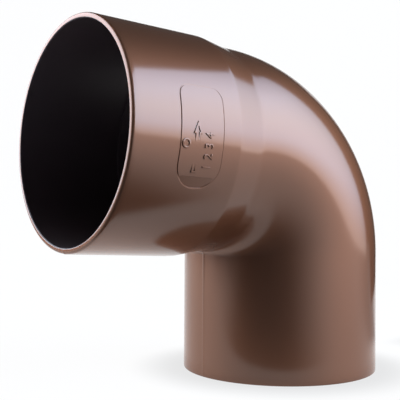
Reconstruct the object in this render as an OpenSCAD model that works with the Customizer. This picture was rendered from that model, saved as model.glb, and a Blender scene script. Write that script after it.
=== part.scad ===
// Downspout elbow: a push-fit spigot below, a bend, and a socket that the next pipe pushes into.
// The fitting is moulded in one piece. The origin is the middle of the spigot's lower rim,
// the spigot stands up along +Z, and the bend turns the water towards -X.

/* [Pipe] */
// Outside diameter of the downpipe, and so of the spigot
pipe_od = 80; // [60:1:125]
// Wall thickness of the fitting
wall = 2; // [1.6:0.1:3]

/* [Bend] */
// Angle that the fitting turns the water through
bend_angle = 87.5; // [30:0.5:90]
// Radius of the outside surface in the inner corner of the bend
crotch_r = 1.5; // [0.5:0.5:40]

/* [Spigot] */
// Straight length of the spigot, from its rim to the bend
spigot_len = 48; // [30:1:80]
// Rounding of the rim's outer edge
spigot_edge_r = 0.6; // [0.2:0.1:0.8]
// Chamfer of the rim's inner edge
spigot_chamfer = 0.4; // [0.2:0.1:0.6]

/* [Socket] */
// Play on the diameter between the socket and the pipe
socket_play = 0.2; // [0.2:0.1:1]
// Depth of the socket, from its mouth to the ledge that stops the pipe
socket_depth = 43.5; // [30:0.5:70]
// Width of the ledge that stops the pipe
ledge_w = 1.1; // [0.8:0.1:1.5]
// Straight neck between the bend and the cone
neck_len = 4.4; // [2:0.2:20]
// Rounding where the neck runs into the cone
neck_round_r = 15; // [5:1:20]
// Length of the cone that widens from the neck to the socket
cone_len = 11.8; // [6:0.2:30]
// Rounding where the cone runs into the socket
cone_round_r = 8; // [1:0.5:12]
// Rounding of the lip's outer edge
lip_r = 1; // [0.4:0.1:1.2]
// Chamfer of the lip's inner edge, which leads the pipe in
lip_chamfer = 0.3; // [0.1:0.1:0.4]

/* [Marking plate] */
// Length of the plate along the socket
plate_w = 17.2; // [10:0.2:24]
// Height of the plate across the socket, seen square on
plate_h = 33.6; // [20:0.2:40]
// Rounding of the plate's upper corners
plate_top_r = 4; // [2:0.2:8]
// Rounding of the plate's lower corners
plate_low_r = 7.8; // [2:0.2:10]
// Distance from the mouth to the middle of the plate
plate_inset = 27.1; // [15:0.1:40]
// Distance of the plate's middle below the socket's axis
plate_drop = 1.3; // [0:0.1:4]
// Height that the plate stands above the socket
plate_rise = 0.12; // [0.05:0.01:0.4]
// Height of the thumbnail relief at the plate's lower end
relief_h = 3.7; // [2:0.1:6]
// Angle that the relief falls away from the socket's surface
relief_angle = 8; // [4:1:14]

/* [Hidden] */

$fn = 144;
edge_steps = 6;
over = 1;

// The neck starts this far inside the bend's wall, and is this much thinner on each face
tuck = 0.3;
tuck_thin = 0.03;

pipe_r = pipe_od / 2;
bore_r = pipe_r - wall;
bend_r = pipe_r + crotch_r;
socket_bore_r = pipe_r + socket_play / 2;
socket_r = socket_bore_r + wall;
throat_r = socket_bore_r - ledge_w;
neck_r = pipe_r - tuck_thin;
cone_angle = atan((socket_r - neck_r) / cone_len);
cone_round_z = cone_round_r * tan(cone_angle / 2);
neck_round_z = min(neck_round_r * tan(cone_angle / 2), neck_len);
neck_round = neck_round_z / tan(cone_angle / 2);
ledge_z = neck_len + cone_len;
mouth_z = ledge_z + socket_depth;
plate_z = mouth_z - plate_inset;
plate_r_max = 0.48 * plate_w;
relief_top = plate_h / 2 + plate_drop - relief_h;
relief_top_angle = asin(relief_top / socket_r);

// Points on an arc around [x, y], from angle a0 to angle a1
function arc(x, y, r, a0, a1) = [
    for (i = [0 : edge_steps])
        let (a = a0 + (a1 - a0) * i / edge_steps)
        [x + r * cos(a), y + r * sin(a)]
];

// Moves its children from the origin to the end of the bend, with +Z along the socket
module at_outlet() {
    translate([-bend_r, 0, spigot_len])
        rotate([0, -bend_angle, 0])
            translate([bend_r, 0, 0])
                children();
}

module spigot() {
    rotate_extrude()
        polygon(concat(
            [[bore_r, spigot_len], [bore_r, spigot_chamfer], [bore_r + spigot_chamfer, 0]],
            arc(pipe_r - spigot_edge_r, spigot_edge_r, spigot_edge_r, -90, 0),
            [[pipe_r, spigot_len]]
        ));
}

module bend() {
    translate([-bend_r, 0, spigot_len])
        rotate([90, 0, 0])
            rotate_extrude(angle = bend_angle)
                translate([bend_r, 0])
                    difference() {
                        circle(r = pipe_r);
                        circle(r = bore_r);
                    }
}

// The neck, the cone and the socket, with +Z out of the mouth
module socket() {
    outside = concat(
        [[neck_r, -tuck]],
        arc(neck_r + neck_round, neck_len - neck_round_z, neck_round, 180, 180 - cone_angle),
        arc(socket_r - cone_round_r, ledge_z + cone_round_z, cone_round_r, -cone_angle, 0),
        arc(socket_r - lip_r, mouth_z - lip_r, lip_r, 0, 90)
    );
    inside = [
        [socket_bore_r + lip_chamfer, mouth_z],
        [socket_bore_r, mouth_z - lip_chamfer],
        [socket_bore_r, ledge_z],
        [throat_r, ledge_z],
        [bore_r + tuck_thin, neck_len],
        [bore_r + tuck_thin, -tuck]
    ];
    rotate_extrude()
        polygon(concat(outside, inside));
}

// One end of the marking plate's outline, with corners of radius r around the line at x
module plate_end(x, r) {
    y = plate_w / 2 - r;
    translate([x - r, plate_z - y])
        square([2 * r, 2 * y]);
    for (side = [-1, 1])
        translate([x, plate_z + side * y])
            circle(r = r);
}

// Outline of the marking plate, with x up across the socket and y along it
module plate_outline() {
    low_r = min(plate_low_r, plate_r_max);
    top_r = min(plate_top_r, plate_r_max);
    x0 = -plate_drop - plate_h / 2 + low_r;
    x1 = -plate_drop + plate_h / 2 - top_r;
    translate([x0, plate_z - plate_w / 2])
        square([x1 - x0, plate_w]);
    plate_end(x0, low_r);
    plate_end(x1, top_r);
}

// Bar with the plate's outline that runs from the socket's axis out of its -Y side
module plate_bar() {
    rotate([90, 0, 0])
        linear_extrude(socket_r + over)
            plate_outline();
}

module marking_plate() {
    intersection() {
        plate_bar();
        translate([0, 0, plate_z - plate_w])
            difference() {
                cylinder(r = socket_r + plate_rise, h = 2 * plate_w);
                translate([0, 0, -over])
                    cylinder(r = socket_r - wall / 2, h = 2 * plate_w + 2 * over);
            }
    }
}

// Flat cut that falls away from the socket's surface at the plate's lower end
module plate_relief() {
    fall = relief_top_angle + relief_angle;
    depth = socket_r * cos(relief_angle);
    intersection() {
        plate_bar();
        translate([-relief_top - socket_r, -socket_r, plate_z - plate_w])
            cube([socket_r, socket_r, 2 * plate_w]);
        rotate([0, 0, -fall])
            translate([-socket_r, -depth - socket_r, plate_z - plate_w])
                cube([2 * socket_r, socket_r, 2 * plate_w]);
    }
}

module elbow() {
    color([0.55, 0.37, 0.29]) {
        spigot();
        bend();
        at_outlet()
            difference() {
                union() {
                    socket();
                    marking_plate();
                }
                plate_relief();
            }
    }
}

elbow();
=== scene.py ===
"""Downspout elbow: the finish, the fine moulding detail and the studio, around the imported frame."""

import math

import bmesh
import bpy
from mathutils import Matrix, Quaternion, Vector
from mathutils.geometry import delaunay_2d_cdt


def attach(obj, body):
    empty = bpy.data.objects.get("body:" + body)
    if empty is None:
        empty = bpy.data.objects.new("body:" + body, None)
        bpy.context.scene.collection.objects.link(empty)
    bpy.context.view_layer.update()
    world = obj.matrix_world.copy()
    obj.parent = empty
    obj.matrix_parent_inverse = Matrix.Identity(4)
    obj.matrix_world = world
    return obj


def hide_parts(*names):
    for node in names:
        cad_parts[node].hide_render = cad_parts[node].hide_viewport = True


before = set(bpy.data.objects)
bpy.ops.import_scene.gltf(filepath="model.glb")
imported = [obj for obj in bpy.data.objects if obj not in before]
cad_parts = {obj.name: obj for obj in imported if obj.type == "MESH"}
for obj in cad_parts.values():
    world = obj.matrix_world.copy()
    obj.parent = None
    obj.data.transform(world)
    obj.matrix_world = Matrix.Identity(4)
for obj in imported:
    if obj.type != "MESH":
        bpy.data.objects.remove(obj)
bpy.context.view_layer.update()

# Sizes of the moulding in millimetres, as in the CAD model
PIPE_R = 40.0
WALL = 2.0
BORE_R = PIPE_R - WALL
BEND_R = 41.5
BEND_ANGLE = math.radians(87.5)
SPIGOT_LEN = 48.0
SPIGOT_EDGE_R = 0.6
SPIGOT_CHAMFER = 0.4
NECK_LEN = 4.4
NECK_ROUND_R = 15.0
CONE_LEN = 11.8
CONE_ROUND_R = 8.0
SOCKET_DEPTH = 43.5
SOCKET_BORE_R = 40.1
SOCKET_R = SOCKET_BORE_R + WALL
THROAT_R = SOCKET_BORE_R - 1.1
LIP_R = 1.0
LIP_CHAMFER = 0.3
CORNER_R = 0.1
FILLET_STEPS = 5
LONGEST = 1.6

BEND_LEN = BEND_R * BEND_ANGLE
BEND_START = SPIGOT_LEN
BEND_END = BEND_START + BEND_LEN
CONE_START = BEND_END + NECK_LEN
LEDGE = CONE_START + CONE_LEN
MOUTH = LEDGE + SOCKET_DEPTH

# The marking plate on the -Y side of the socket, with a fine groove round it as (inset, height) points
PLATE_W = 17.2
PLATE_H = 33.6
PLATE_TOP_R = 4.0
PLATE_LOW_R = 7.8
PLATE_RISE = 0.12
PLATE_MID = MOUTH - 27.1
PLATE_DROP = 1.3
PLATE_EDGE = 0.07
GROOVE = ((-0.30, 0.0), (-0.18, -0.10), (-0.02, -0.10))
RELIEF_UP = -14.4
RELIEF_ANGLE = math.radians(8)

# The window in the skin's grid that the plate's own mesh fills
WINDOW_UP = (-21.0, 18.0)
WINDOW_T = (PLATE_MID - 11.2, PLATE_MID + 11.2)

# That mesh: its steps along the outline and round the corners, the loops this far on each side of the
# edge, and how far the grid's own points stay from the edge and from the relief's upper line
OUTLINE_STEP = 0.8
CORNER_STEP = 0.5
EDGE_BAND = 0.8
CLEAR_OF_EDGE = 1.4
CLEAR_OF_RELIEF = 0.5
RELIEF_STEPS = 16
SLIVER = 0.01

# Raised marks on the plate: a ring, an arrow that shows the fitting's upper side, and plain numbers.
# Each is in its own box: low up and t, then high up and t, with t from the plate's middle.
MARK_RISE = 0.32
MARK_SINK = 0.15
MARK_BEVEL = 0.06
STROKE = 0.6
RING_MARK_STEPS = 40
DIGIT_HEIGHT = 0.73
WELD = 0.002
RING_BOX = (-5.7, 4.8, -2.4, 8.1)
ARROW_BOX = (-13.2, 0.3, 3.6, 3.9)
ARROW_HEAD = 4.2
ARROW_SHAFT = 1.0
NUMBERS_BOX = (-11.3, -4.4, 0.3, -1.0)
NUMBERS = "1 2 3 4"

# Round the ring: even steps, and a few extra angles for the parting line, which stands up less on the
# bend's outer side and at the foot
RING_STEPS = 192
PARTING_HALF_W = 0.28
PARTING_RISE = 0.1
PARTING_OUTER = 0.5
PARTING_FOOT = 0.35

# The photograph's camera, the level direction it looks in and the direction to its right
CAMERA_AT = Vector((-226.5, -247.13, 65.82)) / 1000
CAMERA_YAW = math.radians(36.75)
CAMERA_PITCH = math.radians(0.68)
CAMERA_ROLL = math.radians(0.38)
CAMERA_LENS = 70.84
LOOK = Vector((math.sin(CAMERA_YAW), math.cos(CAMERA_YAW), 0))
SIDE = Vector((math.cos(CAMERA_YAW), -math.sin(CAMERA_YAW), 0))

# Colours of the moulding: the copper's lighter and deeper clouds, and the uncoated inside
COPPER = (0.158, 0.069, 0.039, 1.0)
COPPER_DEEP = (0.148, 0.064, 0.036, 1.0)
BARE = (0.030, 0.018, 0.019, 1.0)

# Their fine texture, as features per metre and as the strength and depth of the bump
CLOUDS = 22.0
FLAKES = 5200.0
FLAKE_BUMP = (0.10, 0.00002)
GRAIN = 900.0
GRAIN_BUMP = (0.2, 0.00004)

# The pale floor, in metres from the middle of the foot along LOOK and SIDE. It sweeps up behind the
# elbow, and a table on each side of the frame is there only for its reflection in the coat.
PAPER = (0.8, 0.8, 0.8, 1.0)
FLOOR_GLOW = 0.95
FLOOR_FRONT = -3.0
SWEEP_SIDES = (-0.26, 0.215)
SWEEP_BACK = 0.35
SWEEP_R = 0.12
SWEEP_TOP = 0.31
SWEEP_STEPS = 12

# The two flanks of each table, as side and back edge; the right table runs back as it runs out
TABLE_SLOPE = 0.69
RIGHT_TABLE = tuple((side, TABLE_SLOPE * side) for side in (SWEEP_SIDES[1], 3.0))
LEFT_TABLE = tuple((side, 0.7) for side in (-0.8, SWEEP_SIDES[0]))

# Where shade is painted into the floor's glow (a painted shadow round the foot, painted dark in front,
# painted dim behind and far to the left), as distances in metres and as bearings in degrees round the
# foot:
# 0 is towards the camera and positive is to its right
PAINTED_FOOT_SHADOW = 0.8
FOOT_REACH = (0.040, 0.066)
FRONT_REACH = (-0.075, -0.063)
RIGHT_TURN = (2, 52)
LEFT_TURN = (-78, -42)
LEFT_REACH = (0.35, 0.75)
LEFT_FAR = 0.36
PAINTED_BEHIND_SHADE = 0.6
BEHIND_REACH = (0.075, 0.125)
BEHIND_TURN = (88, 116)
BEHIND_END = (126, 140)

# The dim room, and the two soft boxes, with their colours from the foot of the box to its top
ROOM = 0.06
AIM = Vector((-0.03, 0.0, 0.08))
RIGHT_BOX = {
    "azimuth": 32.8, "elevation": 22.9, "distance": 0.8, "width": 1.19, "height": 0.729,
    "roll": -5, "yaw": 35, "spread": 180, "glow": 9.5,
    "colours": ((0.46, 0.35, 0.30), (0.59, 0.69, 0.86), (0.61, 0.75, 0.91), (0.60, 0.77, 1.0),
                (0.52, 0.60, 0.80)),
    "across": (1.0, 1.0, 1.0, 1.0, 1.0, 0.98, 0.82, 0.56, 0.28),
}
LEFT_BOX = {
    "azimuth": -138, "elevation": 25, "distance": 0.8, "width": 1.05, "height": 0.80,
    "roll": 0, "yaw": 0, "spread": 120, "glow": 3.0,
    "colours": ((0.74, 0.83, 0.96), (0.74, 0.83, 0.96)),
    "across": (1.0, 1.0),
}


def centre_line(t):
    """Centre, outward normal in the bend's plane and direction at t mm along the elbow."""
    if t <= BEND_START:
        return Vector((0, 0, t)), Vector((1, 0, 0)), Vector((0, 0, 1))
    angle = min((t - BEND_START) / BEND_R, BEND_ANGLE)
    normal = Vector((math.cos(angle), 0, math.sin(angle)))
    along = Vector((-math.sin(angle), 0, math.cos(angle)))
    centre = Vector((-BEND_R, 0, SPIGOT_LEN)) + BEND_R * normal
    return centre + max(t - BEND_END, 0) * along, normal, along


def skin_point(t, r, angle):
    """Point in metres on a ring of radius r; angle 0 is the bend's outer side, -90 degrees is -Y."""
    centre, normal, _ = centre_line(t)
    return (centre + r * (math.cos(angle) * normal + math.sin(angle) * Vector((0, 1, 0)))) / 1000


def fillet(before, corner, after, radius):
    """Points of an arc of the given radius that rounds a corner of a flat outline."""
    corner, before, after = Vector(corner), Vector(before), Vector(after)
    to_before = (before - corner).normalized()
    to_after = (after - corner).normalized()
    half = to_before.angle(to_after) / 2
    reach = radius / math.tan(half)
    centre = corner + (to_before + to_after).normalized() * (radius / math.sin(half))
    start = corner + to_before * reach - centre
    end = corner + to_after * reach - centre
    turn = start.angle(end)
    points = []
    for i in range(FILLET_STEPS + 1):
        f = i / FILLET_STEPS
        a = math.sin((1 - f) * turn) / math.sin(turn)
        b = math.sin(f * turn) / math.sin(turn)
        points.append(tuple(centre + a * start + b * end))
    return points


def rounded(corners):
    """Closed outline from (t, r, radius) corners, each rounded by its own radius."""
    points = []
    count = len(corners)
    for i, (t, r, radius) in enumerate(corners):
        before = corners[i - 1][:2]
        after = corners[(i + 1) % count][:2]
        points += fillet(before, (t, r), after, radius)
    return points


def wall_section():
    """The wall's outline, out along the outside and back along the inside, as (t, r, inside)."""
    outside = [
        (0.0, PIPE_R, SPIGOT_EDGE_R),
        (CONE_START, PIPE_R, NECK_ROUND_R),
        (LEDGE, SOCKET_R, CONE_ROUND_R),
        (MOUTH, SOCKET_R, LIP_R),
    ]
    inside = [
        (MOUTH, SOCKET_BORE_R + LIP_CHAMFER, CORNER_R),
        (MOUTH - LIP_CHAMFER, SOCKET_BORE_R, CORNER_R),
        (LEDGE, SOCKET_BORE_R, CORNER_R),
        (LEDGE, THROAT_R, CORNER_R),
        (CONE_START, BORE_R, CORNER_R),
        (SPIGOT_CHAMFER, BORE_R, CORNER_R),
        (0.0, BORE_R + SPIGOT_CHAMFER, CORNER_R),
    ]
    points = rounded(outside + inside)
    per_corner = FILLET_STEPS + 1
    first_inside = per_corner * len(outside) + per_corner // 2
    return densify([(t, r, i >= first_inside) for i, (t, r) in enumerate(points)])


def densify(points):
    """Splits the outline's long stretches, so that the bend is smooth."""
    dense = []
    for (t0, r0, inside), (t1, r1, _) in zip(points, points[1:] + points[:1]):
        steps = max(1, math.ceil(math.hypot(t1 - t0, r1 - r0) / LONGEST))
        for k in range(steps):
            f = k / steps
            dense.append((t0 + f * (t1 - t0), r0 + f * (r1 - r0), inside))
    return dense


def ring_angles():
    """Angles round the ring, with extra ones beside the parting line on the mid-plane."""
    even = [math.tau * i / RING_STEPS for i in range(RING_STEPS)]
    near = [side * PARTING_HALF_W / PIPE_R for side in (-1, -0.6, -0.3, 0.3, 0.6, 1)]
    extra = [(mid + a) % math.tau for mid in (0.0, math.pi) for a in near]
    return sorted(even + extra)


def parting_rise(t, angle, inside):
    """Height of the mould's parting ridge at a point of the skin, in millimetres."""
    if inside:
        return 0.0
    on_inner_side = math.cos(angle) < 0
    off = abs(math.sin(angle)) * PIPE_R / PARTING_HALF_W
    if off > 1:
        return 0.0
    share = 1.0 if on_inner_side else PARTING_OUTER
    if on_inner_side and t < BEND_START:
        share = PARTING_FOOT + (1 - PARTING_FOOT) * (t / BEND_START) ** 2
    return PARTING_RISE * share * (1 - off * off)


def new_mesh(name, vertices, faces, materials, face_slots=None, sharp_angle=40):
    """Makes a smooth-shaded mesh object that keeps the edges over sharp_angle degrees sharp."""
    mesh = bpy.data.meshes.new(name)
    mesh.from_pydata(vertices, [], faces)
    for material in materials:
        mesh.materials.append(material)
    if face_slots:
        mesh.polygons.foreach_set("material_index", face_slots)
    mesh.polygons.foreach_set("use_smooth", [True] * len(faces))
    mesh.set_sharp_from_angle(angle=math.radians(sharp_angle))
    mesh.update()
    piece = bpy.data.objects.new(name, mesh)
    bpy.context.scene.collection.objects.link(piece)
    return piece


def make_elbow(coat, bare):
    """The whole moulding as one closed skin, in place of the CAD node."""
    section = wall_section()
    angles = ring_angles()
    count = len(angles)
    vertices = []
    for t, r, inside in section:
        for angle in angles:
            vertices.append(skin_point(t, r + parting_rise(t, angle, inside), angle))
    inside_window = window_test(section, angles)
    faces, slots, cut = [], [], []
    for i in range(len(section)):
        here, there = i * count, ((i + 1) % len(section)) * count
        for j in range(count):
            k = (j + 1) % count
            face = (here + j, here + k, there + k, there + j)
            if inside_window(i, j):
                cut.append(face)
                continue
            faces.append(face)
            slots.append(1 if section[i][2] else 0)
    places = {}
    for face in cut:
        for v in face:
            i, j = divmod(v, count)
            places[v] = (SOCKET_R * angles[j], section[i][0])
    normals = {}
    add_plate(vertices, faces, cut, places, normals)
    slots += [0] * (len(faces) - len(slots))
    vertices, faces = without_loose(vertices, faces)
    piece = new_mesh("elbow_moulding", vertices, faces, [coat, bare], slots)
    set_normals(piece.data, normals)
    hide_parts("elbow")
    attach(piece, "root")


def without_loose(vertices, faces):
    """The vertices that a face uses, and the faces with their new numbers."""
    used = sorted({v for face in faces for v in face})
    number = {v: k for k, v in enumerate(used)}
    return [vertices[v] for v in used], [tuple(number[v] for v in face) for face in faces]


def window_test(section, angles):
    """Says which faces of the outside lie in the window that the marking plate fills."""
    low = math.tau - math.acos(WINDOW_UP[0] / SOCKET_R)
    high = math.tau - math.acos(WINDOW_UP[1] / SOCKET_R)

    def inside_window(i, j):
        t0, _, inside = section[i]
        t1 = section[(i + 1) % len(section)][0]
        k = (j + 1) % len(angles)
        if inside or t0 < WINDOW_T[0] or t1 > WINDOW_T[1] or k == 0:
            return False
        return low < angles[j] and angles[k] < high

    return inside_window


def plate_outline(inset):
    """The marking plate's rounded outline as (up, t) points, moved inwards by inset mm."""
    half_h, half_w = PLATE_H / 2 - inset, PLATE_W / 2 - inset
    points = []
    for corner in range(4):
        sx = 1 if corner in (0, 3) else -1
        sy = 1 if corner in (0, 1) else -1
        r = (PLATE_TOP_R if sx > 0 else PLATE_LOW_R) - inset
        arc_steps = max(2, round(r * math.pi / 2 / CORNER_STEP))
        for k in range(arc_steps + 1):
            a = math.radians(90 * (corner + k / arc_steps))
            x = sx * (half_h - r) + r * math.cos(a)
            y = sy * (half_w - r) + r * math.sin(a)
            points.append((x - PLATE_DROP, y + PLATE_MID))
    dense = []
    for (x0, y0), (x1, y1) in zip(points, points[1:] + points[:1]):
        steps = max(1, round(math.hypot(x1 - x0, y1 - y0) / OUTLINE_STEP))
        dense += [(x0 + (x1 - x0) * k / steps, y0 + (y1 - y0) * k / steps) for k in range(steps)]
    return dense


def plate_depth(up, t):
    """How far a point lies inside the plate's outline; negative outside it."""
    r = PLATE_TOP_R if up > -PLATE_DROP else PLATE_LOW_R
    x = abs(up + PLATE_DROP) - (PLATE_H / 2 - r)
    y = abs(t - PLATE_MID) - (PLATE_W / 2 - r)
    outside = math.hypot(max(x, 0), max(y, 0)) + min(max(x, y), 0)
    return r - outside


def relief_fall(up):
    """Height of the flat relief over the socket's surface, in millimetres; it is negative."""
    fall = math.asin(-RELIEF_UP / SOCKET_R) + RELIEF_ANGLE
    return SOCKET_R * math.cos(RELIEF_ANGLE) / math.cos(math.asin(-up / SOCKET_R) - fall) - SOCKET_R


def plate_height(up, t):
    """Height of the plate's surface over the socket, with the fine groove round its edge."""
    on_plate = min(max((up - RELIEF_UP) / PLATE_EDGE + 1, 0), 1)
    top = on_plate * PLATE_RISE + (1 - on_plate) * min(relief_fall(min(up, RELIEF_UP)), 0)
    depth = plate_depth(up, t)
    profile = GROOVE + ((PLATE_EDGE, top),)
    if depth <= profile[0][0]:
        return 0.0
    for (x0, h0), (x1, h1) in zip(profile, profile[1:]):
        if depth < x1:
            return h0 + (h1 - h0) * (depth - x0) / (x1 - x0)
    return top


def up_to_arc(up):
    """Distance round the socket, in millimetres from its outer side, of a height on its -Y side."""
    return SOCKET_R * (math.tau - math.acos(max(-1, min(1, up / SOCKET_R))))


def add_plate(vertices, faces, cut, places, normals):
    """Fills the window with the marking plate: its edge, its top and the relief at its lower end."""
    edge_use = {}
    for face in cut:
        for a, b in zip(face, face[1:] + face[:1]):
            edge_use.setdefault(frozenset((a, b)), []).append((a, b))
    border = [use[0] for use in edge_use.values() if len(use) == 1]
    rim = sorted({v for edge in border for v in edge})
    index = {v: i for i, v in enumerate(rim)}
    points = [Vector(places[v]) for v in rim]
    edges = [(index[a], index[b]) for a, b in border]

    def add_loop(outline, closed=True):
        first = len(points)
        points.extend(Vector((up_to_arc(u), t)) for u, t in outline)
        last = len(points) - 1
        edges.extend((k, k + 1) for k in range(first, last))
        if closed:
            edges.append((last, first))

    for inset in (-EDGE_BAND, *(depth for depth, _ in GROOVE), PLATE_EDGE, EDGE_BAND):
        add_loop(plate_outline(inset))
    half_w = (PLATE_W - EDGE_BAND) / 2
    for up in (RELIEF_UP, RELIEF_UP - PLATE_EDGE):
        line = [(up, PLATE_MID + half_w * (2 * k / RELIEF_STEPS - 1)) for k in range(RELIEF_STEPS + 1)]
        add_loop([(u, t) for u, t in line if plate_depth(u, t) > EDGE_BAND + 0.1], closed=False)
    for v, (s, t) in places.items():
        up = SOCKET_R * math.cos(s / SOCKET_R)
        near_edge = abs(plate_depth(up, t)) < CLEAR_OF_EDGE
        if v not in index and not near_edge and abs(up - RELIEF_UP) > CLEAR_OF_RELIEF:
            points.append(Vector((s, t)))
    found, _, triangles, kept, _, _ = delaunay_2d_cdt(points, edges, [], 1, 1e-6)
    names = []
    for point, origins in zip(found, kept):
        rims = [o for o in origins if o < len(rim)]
        if rims:
            names.append(rim[rims[0]])
            continue
        up = SOCKET_R * math.cos(point.x / SOCKET_R)
        names.append(len(vertices))
        vertices.append(skin_point(point.y, SOCKET_R + plate_height(up, point.y), point.x / SOCKET_R))
    add_triangles(faces, found, triangles, names, cut, places, normals)


def add_triangles(faces, found, triangles, names, cut, places, normals):
    """Adds the plate's triangles, facing out, and notes the exact surface normals of each."""
    low = [min(places[v][k] for face in cut for v in face) + SLIVER for k in (0, 1)]
    high = [max(places[v][k] for face in cut for v in face) - SLIVER for k in (0, 1)]
    for triangle in triangles:
        middle = sum((found[i] for i in triangle), Vector((0, 0))) / 3
        if not all(low[k] < middle[k] < high[k] for k in (0, 1)):
            continue
        a, b, c = (found[i] for i in triangle)
        if (b - a).cross(c - a) < 0:
            triangle = triangle[::-1]
        up = SOCKET_R * math.cos(middle.x / SOCKET_R)
        depth = plate_depth(up, middle.y)
        kind = None
        if depth < GROOVE[0][0] or (depth > PLATE_EDGE and up > RELIEF_UP):
            kind = [found[i].x / SOCKET_R for i in triangle]
        elif depth > PLATE_EDGE and up < RELIEF_UP - PLATE_EDGE:
            fall = math.asin(-RELIEF_UP / SOCKET_R) + RELIEF_ANGLE
            kind = [1.5 * math.pi - fall] * 3
        if kind:
            normals[len(faces)] = [outward(middle.y, angle) for angle in kind]
        faces.append(tuple(names[i] for i in triangle))


def outward(t, angle):
    """Unit normal of the skin at an angle round the ring."""
    _, normal, _ = centre_line(t)
    return math.cos(angle) * normal + math.sin(angle) * Vector((0, 1, 0))


def set_normals(mesh, normals):
    """Gives the listed faces their exact corner normals; zero keeps Blender's own."""
    values = [Vector((0, 0, 0))] * len(mesh.loops)
    for face, corners in normals.items():
        for loop, normal in zip(mesh.polygons[face].loop_indices, corners):
            values[loop] = normal
    mesh.normals_split_custom_set(values)


def filled_curve(outlines):
    """A flat curve in millimetres, filled between its closed outlines; an inner one is a hole."""
    curve = bpy.data.curves.new("mark", "CURVE")
    curve.dimensions = "2D"
    curve.fill_mode = "BOTH"
    for outline in outlines:
        spline = curve.splines.new("POLY")
        spline.points.add(len(outline) - 1)
        for point, (x, y) in zip(spline.points, outline):
            point.co = (x, y, 0.0, 1.0)
        spline.use_cyclic_u = True
    return curve


def ring_curve(box):
    """A ring of the mark's stroke that fills its box."""
    x, y = (box[0] + box[2]) / 2, (box[1] + box[3]) / 2
    radius = (box[3] - box[1]) / 2
    turns = [math.tau * k / RING_MARK_STEPS for k in range(RING_MARK_STEPS)]
    outlines = []
    for r in (radius, radius - STROKE):
        outlines.append([(x + r * math.cos(turn), y + r * math.sin(turn)) for turn in turns])
    return filled_curve(outlines)


def inset_outline(points, inset):
    """A closed outline, given against the clock, moved inwards by inset with sharp corners."""
    moved = []
    for i, point in enumerate(points):
        here = Vector(point)
        into = (here - Vector(points[i - 1])).normalized()
        out = (Vector(points[(i + 1) % len(points)]) - here).normalized()
        normal_in, normal_out = Vector((-into.y, into.x)), Vector((-out.y, out.x))
        moved.append(tuple(here + (normal_in + normal_out) * (inset / (1 + normal_in.dot(normal_out)))))
    return moved


def arrow_curve(box):
    """An outlined arrow along +x that fills its box."""
    x0, y0, x1, y1 = box
    y = (y0 + y1) / 2
    neck = x1 - ARROW_HEAD
    outline = [(x0, y - ARROW_SHAFT), (neck, y - ARROW_SHAFT), (neck, y0), (x1, y), (neck, y1),
               (neck, y + ARROW_SHAFT), (x0, y + ARROW_SHAFT)]
    return filled_curve([outline, inset_outline(outline, STROKE)])


def numbers_curve(box):
    """Plain numbers in Blender's own font, about as high as their box."""
    curve = bpy.data.curves.new("mark", "FONT")
    curve.body = NUMBERS
    curve.size = (box[3] - box[1]) / DIGIT_HEIGHT
    curve.resolution_u = 6
    return curve


def raised_mark(curve, box):
    """Vertices on the plate and faces of a curve made solid with bevelled edges and fitted to its box."""
    curve.bevel_depth = MARK_BEVEL
    curve.bevel_resolution = 1
    curve.offset = -MARK_BEVEL
    curve.extrude = (MARK_RISE + MARK_SINK) / 2 - MARK_BEVEL
    source = bpy.data.objects.new("mark", curve)
    mesh = bpy.data.meshes.new_from_object(source)
    welded = bmesh.new()
    welded.from_mesh(mesh)
    bmesh.ops.remove_doubles(welded, verts=welded.verts, dist=WELD)
    bmesh.ops.recalc_face_normals(welded, faces=welded.faces)
    points = [v.co.copy() for v in welded.verts]
    faces = [tuple(v.index for v in face.verts) for face in welded.faces]
    welded.free()
    bpy.data.meshes.remove(mesh)
    bpy.data.objects.remove(source)
    bpy.data.curves.remove(curve)
    low = [min(p[k] for p in points) for k in (0, 1)]
    high = [max(p[k] for p in points) for k in (0, 1)]
    placed = []
    for p in points:
        up = box[0] + (p.x - low[0]) / (high[0] - low[0]) * (box[2] - box[0])
        t = PLATE_MID + box[1] + (p.y - low[1]) / (high[1] - low[1]) * (box[3] - box[1])
        r = SOCKET_R + PLATE_RISE + p.z + (MARK_RISE - MARK_SINK) / 2
        placed.append(skin_point(t, r, up_to_arc(up) / SOCKET_R))
    return placed, faces


def make_marks(coat):
    """The raised marks on the plate."""
    vertices, faces = [], []
    for draw, box in ((ring_curve, RING_BOX), (arrow_curve, ARROW_BOX), (numbers_curve, NUMBERS_BOX)):
        placed, mark_faces = raised_mark(draw(box), box)
        first = len(vertices)
        vertices += placed
        faces += [tuple(first + v for v in face) for face in mark_faces]
    piece = new_mesh("plate_marks", vertices, faces, [coat], sharp_angle=30)
    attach(piece, "root")


def shader(name):
    """A new material with a Principled shader; returns it with its nodes, links and shader."""
    material = bpy.data.materials.new(name)
    material.use_nodes = True
    nodes, links = material.node_tree.nodes, material.node_tree.links
    return material, nodes, links, nodes["Principled BSDF"]


def set_values(node, values):
    """Sets a node's sockets by name."""
    for name, value in values.items():
        node.inputs[name].default_value = value


def noise(nodes, links, scale, detail=3.0):
    """Noise in object coordinates, in features per metre."""
    place = nodes.new("ShaderNodeTexCoord")
    texture = nodes.new("ShaderNodeTexNoise")
    set_values(texture, {"Scale": scale, "Detail": detail, "Roughness": 0.55})
    links.new(place.outputs["Object"], texture.inputs["Vector"])
    return texture.outputs["Fac"]


def add_bump(nodes, links, base, height, strength, distance):
    """Gives a shader a fine bump."""
    bump = nodes.new("ShaderNodeBump")
    set_values(bump, {"Strength": strength, "Distance": distance})
    links.new(height, bump.inputs["Height"])
    links.new(bump.outputs["Normal"], base.inputs["Normal"])


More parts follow.
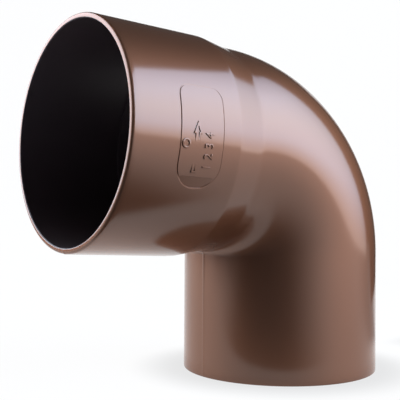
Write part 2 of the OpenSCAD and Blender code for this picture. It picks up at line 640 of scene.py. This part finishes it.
def copper_coat():
    """Glossy copper-brown: a satin metallic base under a clear coat."""
    material, nodes, links, base = shader("copper_coat")
    mix = nodes.new("ShaderNodeMix")
    mix.data_type = "RGBA"
    set_values(mix, {"A": COPPER_DEEP, "B": COPPER})
    links.new(noise(nodes, links, CLOUDS), mix.inputs["Factor"])
    links.new(mix.outputs["Result"], base.inputs["Base Color"])
    add_bump(nodes, links, base, noise(nodes, links, FLAKES, detail=1.0), *FLAKE_BUMP)
    set_values(base, {
        "Metallic": 0.92,
        "Roughness": 0.56,
        "Specular IOR Level": 0.0,
        "IOR": 1.5,
        "Specular Tint": (1.0, 0.5, 0.33, 1.0),
        "Coat Weight": 1.0,
        "Coat Roughness": 0.14,
        "Coat IOR": 1.5,
    })
    return material


def bare_plastic():
    """Dark brown uncoated plastic of the inside, with a fine satin grain."""
    material, nodes, links, base = shader("bare_plastic")
    add_bump(nodes, links, base, noise(nodes, links, GRAIN), *GRAIN_BUMP)
    set_values(base, {"Base Color": BARE, "Roughness": 0.45})
    return material


def maths(nodes, links, operation, *values):
    """A Math node on numbers or other nodes' outputs."""
    node = nodes.new("ShaderNodeMath")
    node.operation = operation
    for socket, value in zip(node.inputs, values):
        if isinstance(value, (int, float)):
            socket.default_value = value
        else:
            links.new(value, socket)
    return node.outputs[0]


def times(nodes, links, *factors):
    """Product of several nodes' outputs."""
    product = factors[0]
    for factor in factors[1:]:
        product = maths(nodes, links, "MULTIPLY", product, factor)
    return product


def inverse(nodes, links, value):
    """One minus a node's output."""
    return maths(nodes, links, "SUBTRACT", 1.0, value)


def fade(nodes, links, value, span, levels):
    """Runs smoothly between two levels while a value crosses a span."""
    level = nodes.new("ShaderNodeMapRange")
    level.interpolation_type = "SMOOTHSTEP"
    set_values(level, {"From Min": span[0], "From Max": span[1], "To Min": levels[0], "To Max": levels[1]})
    links.new(value, level.inputs["Value"])
    return level.outputs["Result"]


def reach(nodes, links, axis=None):
    """Distance in metres along an axis, or from the middle of the foot without one."""
    place = nodes.new("ShaderNodeTexCoord")
    node = nodes.new("ShaderNodeVectorMath")
    node.operation = "DOT_PRODUCT" if axis else "LENGTH"
    if axis:
        node.inputs[1].default_value = axis
    links.new(place.outputs["Object"], node.inputs[0])
    return node.outputs["Value"]


def bearing(nodes, links):
    """Angle round the foot in degrees; 0 is towards the camera and positive is to its right."""
    angle = maths(nodes, links, "ARCTAN2", reach(nodes, links, SIDE), reach(nodes, links, -LOOK))
    return maths(nodes, links, "DEGREES", angle)


def floor_level(nodes, links):
    """Painted shade in the floor's glow: a painted shadow at the foot, dark in front between two lit
    sides, dim behind.
    """
    turn = bearing(nodes, links)
    from_foot = reach(nodes, links)
    # painted shadow round the foot, drawn into the floor's glow
    foot = fade(nodes, links, from_foot, FOOT_REACH, (PAINTED_FOOT_SHADOW, 1.0))
    right = fade(nodes, links, turn, RIGHT_TURN, (0.0, 1.0))
    # the left table's glow fades with distance from the foot: painted fall-off of light
    left = times(nodes, links, fade(nodes, links, turn, LEFT_TURN, (1.0, 0.0)),
                 fade(nodes, links, from_foot, LEFT_REACH, (1.0, LEFT_FAR)))
    # painted shade: the floor is dark in front, between the two lit tables
    front = times(nodes, links, fade(nodes, links, reach(nodes, links, LOOK), FRONT_REACH, (1.0, 0.0)),
                  inverse(nodes, links, maths(nodes, links, "MAXIMUM", right, left)))
    # painted shade: the floor is dimmer behind the foot
    behind = times(nodes, links, fade(nodes, links, turn, BEHIND_TURN, (0.0, PAINTED_BEHIND_SHADE)),
                   fade(nodes, links, turn, BEHIND_END, (1.0, 0.0)),
                   fade(nodes, links, from_foot, BEHIND_REACH, (0.0, 1.0)))
    return times(nodes, links, foot, inverse(nodes, links, front), inverse(nodes, links, behind))


def floor_material():
    """Pale paper that glows to the camera and in reflections, with painted shade in its glow, and is matt
    to all other light.
    """
    material, nodes, links, base = shader("floor")
    set_values(base, {"Base Color": PAPER, "Roughness": 0.9, "Specular IOR Level": 0.0})
    path = nodes.new("ShaderNodeLightPath").outputs
    seen = maths(nodes, links, "MAXIMUM", path["Is Camera Ray"], path["Is Glossy Ray"])
    seen = maths(nodes, links, "MAXIMUM", seen, path["Is Transmission Ray"])
    glow = nodes.new("ShaderNodeEmission")
    mix = nodes.new("ShaderNodeMixShader")
    links.new(floor_level(nodes, links), glow.inputs["Strength"])
    links.new(maths(nodes, links, "MULTIPLY", seen, FLOOR_GLOW), mix.inputs[0])
    links.new(base.outputs[0], mix.inputs[1])
    links.new(glow.outputs[0], mix.inputs[2])
    links.new(mix.outputs[0], nodes["Material Output"].inputs["Surface"])
    return material


def sheet(name, rows, paper):
    """A smooth sheet of the stage through rows of (side, along, up) points."""
    width = len(rows[0])
    vertices = [SIDE * x + LOOK * y + Vector((0, 0, z)) for row in rows for x, y, z in row]
    faces = []
    for i in range(len(rows) - 1):
        for j in range(width - 1):
            a = i * width + j
            faces.append((a, a + 1, a + width + 1, a + width))
    new_mesh(name, vertices, faces, [paper])


def make_floor():
    """The floor, which sweeps up behind the elbow, and a table on each side of the frame."""
    paper = floor_material()
    profile = [(FLOOR_FRONT, 0.0)]
    for k in range(SWEEP_STEPS + 1):
        a = math.radians(90 * k / SWEEP_STEPS)
        profile.append((SWEEP_BACK + SWEEP_R * math.sin(a), SWEEP_R * (1 - math.cos(a))))
    profile.append((SWEEP_BACK + SWEEP_R, SWEEP_TOP))
    sheet("sweep", [[(x, y, z) for x in SWEEP_SIDES] for y, z in profile], paper)
    for name, flanks in (("right_table", RIGHT_TABLE), ("left_table", LEFT_TABLE)):
        front = [(x, FLOOR_FRONT, 0.0) for x, _ in flanks]
        back = [(x, y, 0.0) for x, y in flanks]
        sheet(name, [front, back], paper)


def direction(azimuth, elevation):
    """Unit vector; azimuth is from -Y towards +X, in degrees."""
    a, e = math.radians(azimuth), math.radians(elevation)
    return Vector((math.sin(a) * math.cos(e), -math.cos(a) * math.cos(e), math.sin(e)))


def stops(nodes, links, value, colours):
    """Colour ramp with evenly spaced stops over 0 to 1; a plain number stands for a grey."""
    ramp = nodes.new("ShaderNodeValToRGB")
    elements = ramp.color_ramp.elements
    for _ in colours[2:]:
        elements.new(0.5)
    for k, colour in enumerate(colours):
        if isinstance(colour, float):
            colour = (colour, colour, colour)
        elements[k].position = k / (len(colours) - 1)
        elements[k].color = (*colour, 1.0)
    links.new(value, ramp.inputs["Fac"])
    return ramp.outputs["Color"]


def soft_box(name, box):
    """A rectangular studio light that faces the elbow, turned by its yaw and roll."""
    light = bpy.data.lights.new(name, "AREA")
    light.shape = "RECTANGLE"
    light.size, light.size_y = box["width"], box["height"]
    light.energy = box["glow"] * math.pi * box["width"] * box["height"]
    light.spread = math.radians(box["spread"])
    light.use_nodes = True
    nodes, links = light.node_tree.nodes, light.node_tree.links
    place = nodes.new("ShaderNodeNewGeometry")
    parts = nodes.new("ShaderNodeSeparateXYZ")
    links.new(place.outputs["Parametric"], parts.inputs[0])
    links.new(stops(nodes, links, parts.outputs["Y"], box["colours"]), nodes["Emission"].inputs["Color"])
    links.new(stops(nodes, links, parts.outputs["X"], box["across"]), nodes["Emission"].inputs["Strength"])
    lamp = bpy.data.objects.new(name, light)
    towards = direction(box["azimuth"], box["elevation"])
    facing = Quaternion((0, 0, 1), math.radians(box["yaw"])) @ towards
    roll = Quaternion((0, 0, 1), math.radians(box["roll"]))
    lamp.location = AIM + towards * box["distance"]
    lamp.rotation_mode = "QUATERNION"
    lamp.rotation_quaternion = facing.to_track_quat("Z", "Y") @ roll
    bpy.context.scene.collection.objects.link(lamp)


def make_world():
    """Dim grey room."""
    world = bpy.data.worlds.new("studio")
    bpy.context.scene.world = world
    world.use_nodes = True
    set_values(world.node_tree.nodes["Background"], {"Color": (ROOM, ROOM, ROOM, 1.0)})


def make_camera():
    """The photograph's camera, level with the middle of the elbow and close to it."""
    forward = math.cos(CAMERA_PITCH) * LOOK + Vector((0, 0, math.sin(CAMERA_PITCH)))
    up = SIDE.cross(forward)
    tilted_right = math.cos(CAMERA_ROLL) * SIDE + math.sin(CAMERA_ROLL) * up
    tilted_up = math.cos(CAMERA_ROLL) * up - math.sin(CAMERA_ROLL) * SIDE
    data = bpy.data.cameras.new("camera")
    data.lens = CAMERA_LENS
    data.sensor_width = 36.0
    data.clip_start, data.clip_end = 0.01, 50.0
    camera = bpy.data.objects.new("camera", data)
    camera.matrix_world = Matrix.Translation(CAMERA_AT) @ Matrix(
        (tilted_right, tilted_up, -forward)).transposed().to_4x4()
    bpy.context.scene.collection.objects.link(camera)
    bpy.context.scene.camera = camera


coat = copper_coat()
make_elbow(coat, bare_plastic())
make_marks(coat)
make_floor()
soft_box("right_box", RIGHT_BOX)
soft_box("left_box", LEFT_BOX)
make_world()
make_camera()

bpy.context.scene.view_settings.view_transform = "Standard"
